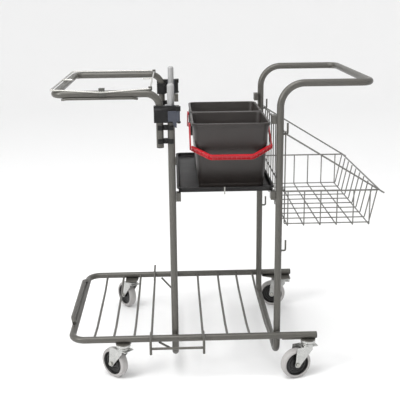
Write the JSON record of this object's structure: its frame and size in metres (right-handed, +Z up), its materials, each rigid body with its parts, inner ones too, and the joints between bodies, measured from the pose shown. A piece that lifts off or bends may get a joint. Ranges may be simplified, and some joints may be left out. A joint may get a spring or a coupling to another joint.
{
  "type": "cleaning cart",
  "caption": "Tubular steel cleaning cart on swivel casters, with a tray and two buckets, a hinged refuse-bag hoop, a wire basket and a push handle.",
  "frame": {"origin": "on the floor, under the middle of the cart's length and on the mid-plane between its two rails", "axes": "+X from the bag end towards the push handle, +Z up, +Y towards the far side, away from the side rack"},
  "size_m": [1.0158, 0.7187, 0.962],
  "materials": {
    "frame_paint": "silver-grey powder coat, satin",
    "black_plastic": "moulded, satin black",
    "light_plastic": "moulded, light grey",
    "zinc_steel": "bright zinc plate",
    "bolt_steel": "zinc plated",
    "hub_plastic": "moulded black",
    "grey_tread": "non-marking grey rubber",
    "tray_plastic": "moulded black, slightly glossy",
    "bucket_plastic": "moulded charcoal grey",
    "red_plastic": "moulded red",
    "liner_plastic": "moulded blue-grey",
    "bright_wire": "bright plated wire",
    "basket_wire": "zinc-grey coated wire"
  },
  "bodies": {
    "frame": {"base_rail": "frame_paint", "rail_end_caps": "black_plastic", "deck_rods": "frame_paint", "side_rack": "frame_paint", "end_fence": "frame_paint", "front_hoop": "frame_paint", "post_tops": "light_plastic", "rear_hoop_handle": "frame_paint", "upper_brackets": "frame_paint", "lower_brackets": "frame_paint", "upper_hooks": "frame_paint", "lower_hooks": "frame_paint", "hoop_braces": "frame_paint", "caster_plates": "frame_paint", "caster_heads": "zinc_steel", "king_pins": "bolt_steel"},
    "caster_near_left": {"fork_near_left": "zinc_steel", "axle_near_left": "bolt_steel"},
    "wheel_near_left": {"hub_near_left": "hub_plastic", "tyre_near_left": "grey_tread"},
    "caster_near_right": {"fork_near_right": "zinc_steel", "axle_near_right": "bolt_steel"},
    "wheel_near_right": {"hub_near_right": "hub_plastic", "tyre_near_right": "grey_tread"},
    "caster_far_left": {"fork_far_left": "zinc_steel", "axle_far_left": "bolt_steel"},
    "wheel_far_left": {"hub_far_left": "hub_plastic", "tyre_far_left": "grey_tread"},
    "caster_far_right": {"fork_far_right": "zinc_steel", "axle_far_right": "bolt_steel"},
    "wheel_far_right": {"hub_far_right": "hub_plastic", "tyre_far_right": "grey_tread"},
    "tray": {"tray": "tray_plastic", "tray_clip": "bolt_steel"},
    "bucket_near": {"bucket_near": "bucket_plastic"},
    "bail_near": {"bail_near": "red_plastic"},
    "bucket_far": {"bucket_far": "bucket_plastic"},
    "bail_far": {"bail_far": "red_plastic"},
    "bag_hoop": {"bag_hoop_tube": "frame_paint", "leg_plugs": "black_plastic", "bag_strip": "frame_paint", "wire_catch": "bolt_steel", "wire_eyes": "frame_paint", "spacer_clips": "liner_plastic", "clamp_near": "black_plastic", "clamp_far": "black_plastic", "clamp_sleeves": "liner_plastic", "lever_pins": "bolt_steel"},
    "bag_wire": {"wire_frame": "bright_wire"},
    "lever_near": {"clamp_lever_near": "liner_plastic"},
    "lever_far": {"clamp_lever_far": "liner_plastic"},
    "basket": {"basket_rim": "basket_wire", "basket_floor": "basket_wire", "basket_front": "basket_wire", "basket_back": "basket_wire", "basket_side_near": "basket_wire", "basket_side_far": "basket_wire", "basket_stays": "basket_wire"}
  },
  "joints": [
    {"name": "swivel_near_left", "type": "hinge", "parent": "frame", "child": "caster_near_left", "pos_m": [-0.31775, -0.29, 0.112], "axis": [0, 0, 1], "continuous": true},
    {"name": "spin_near_left", "type": "hinge", "parent": "caster_near_left", "child": "wheel_near_left", "pos_m": [-0.34896, -0.2619, 0.05], "axis": [0.6691, 0.7431, 0], "continuous": true},
    {"name": "swivel_near_right", "type": "hinge", "parent": "frame", "child": "caster_near_right", "pos_m": [0.27925, -0.29, 0.112], "axis": [0, 0, 1], "continuous": true},
    {"name": "spin_near_right", "type": "hinge", "parent": "caster_near_right", "child": "wheel_near_right", "pos_m": [0.23909, -0.30228, 0.05], "axis": [-0.2924, 0.9563, 0], "continuous": true},
    {"name": "swivel_far_left", "type": "hinge", "parent": "frame", "child": "caster_far_left", "pos_m": [-0.31775, 0.29, 0.112], "axis": [0, 0, 1], "continuous": true},
    {"name": "spin_far_left", "type": "hinge", "parent": "caster_far_left", "child": "wheel_far_left", "pos_m": [-0.34244, 0.32398, 0.05], "axis": [0.809, 0.5878, 0], "continuous": true},
    {"name": "swivel_far_right", "type": "hinge", "parent": "frame", "child": "caster_far_right", "pos_m": [0.27925, 0.29, 0.112], "axis": [0, 0, 1], "continuous": true},
    {"name": "spin_far_right", "type": "hinge", "parent": "caster_far_right", "child": "wheel_far_right", "pos_m": [0.23817, 0.29873, 0.05], "axis": [0.2079, 0.9781, 0], "continuous": true},
    {"name": "tray_lift", "type": "slide", "parent": "frame", "child": "tray", "axis": [0, 0, 1], "range_m": [0, 0.12]},
    {"name": "bucket_lift_near", "type": "slide", "parent": "tray", "child": "bucket_near", "axis": [0, 0, 1], "range_m": [0, 0.25]},
    {"name": "bail_swing_near", "type": "hinge", "parent": "bucket_near", "child": "bail_near", "pos_m": [0.03475, -0.1215, 0.8033], "axis": [-1, 0, 0], "range_deg": [0, 115]},
    {"name": "bucket_lift_far", "type": "slide", "parent": "tray", "child": "bucket_far", "axis": [0, 0, 1], "range_m": [0, 0.25]},
    {"name": "bail_swing_far", "type": "hinge", "parent": "bucket_far", "child": "bail_far", "pos_m": [0.03475, 0.1215, 0.8033], "axis": [1, 0, 0], "range_deg": [0, 115]},
    {"name": "bag_hoop_height", "type": "slide", "parent": "frame", "child": "bag_hoop", "axis": [0, 0, 1], "range_m": [0, 0.04]},
    {"name": "bag_wire_lift", "type": "hinge", "parent": "bag_hoop", "child": "bag_wire", "pos_m": [-0.20975, 0, 0.9398], "axis": [0, 1, 0], "range_deg": [0, 110]},
    {"name": "clamp_lever_turn_near", "type": "hinge", "parent": "bag_hoop", "child": "lever_near", "pos_m": [-0.12725, -0.2898, 0.86], "axis": [0, 0, 1], "range_deg": [0, 100]},
    {"name": "clamp_lever_turn_far", "type": "hinge", "parent": "bag_hoop", "child": "lever_far", "pos_m": [-0.12725, 0.2898, 0.86], "axis": [0, 0, -1], "range_deg": [0, 100]},
    {"name": "basket_lift", "type": "slide", "parent": "frame", "child": "basket", "axis": [0, 0, 1], "range_m": [0, 0.05]}
  ]
}
